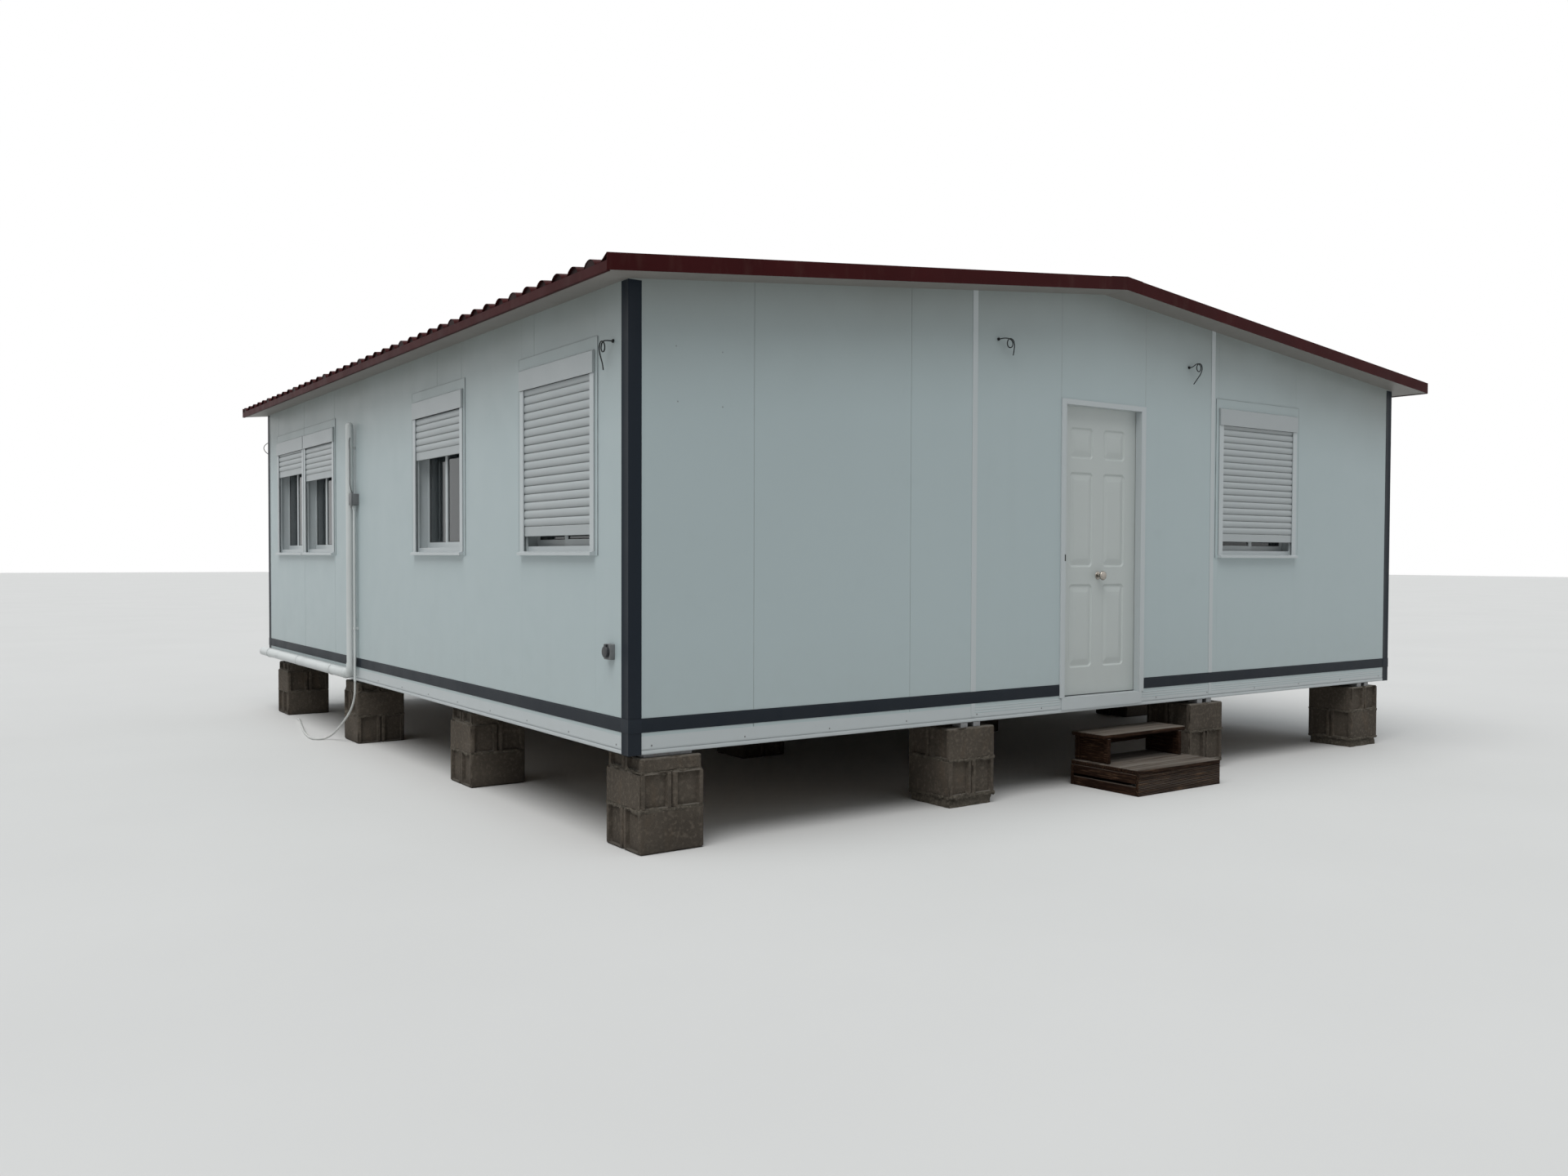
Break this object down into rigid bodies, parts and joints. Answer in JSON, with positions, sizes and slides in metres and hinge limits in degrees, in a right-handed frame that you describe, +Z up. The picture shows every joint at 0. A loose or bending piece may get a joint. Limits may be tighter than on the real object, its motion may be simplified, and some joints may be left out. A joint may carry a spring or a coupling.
{
  "type": "portable site cabin",
  "caption": "Portable site cabin of insulated panels on three floor modules, with a shallow ribbed gable roof, roller shutters, a panelled door, timber steps and block piers",
  "frame": {"origin": "middle of the footprint at the ground under the cabin, piers, roof overhangs and steps included", "axes": "+X to the right along the front gable, +Y from the front gable towards the back, +Z up"},
  "size_m": [7.9965, 8.54, 3.5388],
  "materials": {
    "white_panel": "matt white coated steel skin of the panels, with light dirt",
    "anthracite_trim": "dark grey coated folded steel trim",
    "roof_red": "dark red coated ribbed sheet and trims, faded",
    "frame_white": "white coated aluminium",
    "shutter_white": "white coated roller shutter slats",
    "door_white": "white coated door with raised panels",
    "satin_metal": "satin nickel",
    "galvanised": "galvanised steel",
    "floor_board": "sheet floor boards",
    "window_glass": "clear window glass",
    "concrete_block": "rough hollow concrete block and mortar",
    "old_timber": "weathered dark timber boards",
    "pipe_plastic": "white plastic pipe",
    "box_plastic": "grey plastic box",
    "cable_black": "black cable sheath",
    "hose_plastic": "white flexible hose"
  },
  "bodies": {
    "cabin": {"base_channels": "white_panel", "module_beams": "galvanised", "floor_joists": "galvanised", "floor_deck": "floor_board", "front_wall_left": "white_panel", "front_wall_over_door": "white_panel", "front_wall_right": "white_panel", "left_wall": "white_panel", "right_wall": "white_panel", "back_wall": "white_panel", "joint_covers": "white_panel", "corner_trims": "anthracite_trim", "plinth_bands": "anthracite_trim", "roof_beams": "white_panel", "roof_panels": "white_panel", "roof_sheet_left": "roof_red", "roof_sheet_right": "roof_red", "ridge_cap": "roof_red", "verge_trim_front": "roof_red", "verge_trim_back": "roof_red", "eave_trims": "roof_red", "window_sills": "frame_white", "window_frames": "frame_white", "window_sashes": "frame_white", "window_glass": "window_glass", "shutter_guides": "frame_white", "shutter_boxes": "frame_white", "window_trims": "white_panel", "left_shutter_1": "shutter_white", "left_shutter_2": "shutter_white", "left_shutter_3": "shutter_white", "left_shutter_4": "shutter_white", "right_shutters": "shutter_white", "front_shutter": "shutter_white", "door_lining": "frame_white", "door_stops": "frame_white", "door_threshold": "white_panel", "door_hinge_pins": "satin_metal", "pier_lower_blocks": "concrete_block", "pier_upper_blocks": "concrete_block", "pier_caps": "concrete_block", "bearing_plates": "galvanised", "step_boards": "old_timber", "step_treads": "old_timber", "vent_pipe": "pipe_plastic", "drain_pipe": "pipe_plastic", "pipe_clips": "galvanised", "junction_box": "box_plastic", "conduit": "pipe_plastic", "outlet_box": "box_plastic", "cable_glands": "cable_black", "cable_tail_left": "cable_black", "cable_tail_front_1": "cable_black", "cable_tail_front_2": "cable_black", "cable_tail_back": "cable_black", "hose": "hose_plastic"},
    "door": {"door_leaf": "door_white", "door_knob": "satin_metal", "door_hinge_knuckles": "satin_metal"}
  },
  "joints": [
    {"name": "door_hinge", "type": "hinge", "parent": "cabin", "child": "door", "pos_m": [0.4125, -3.732, 1.655], "axis": [0, 0, -1], "range_deg": [0, 110]}
  ]
}
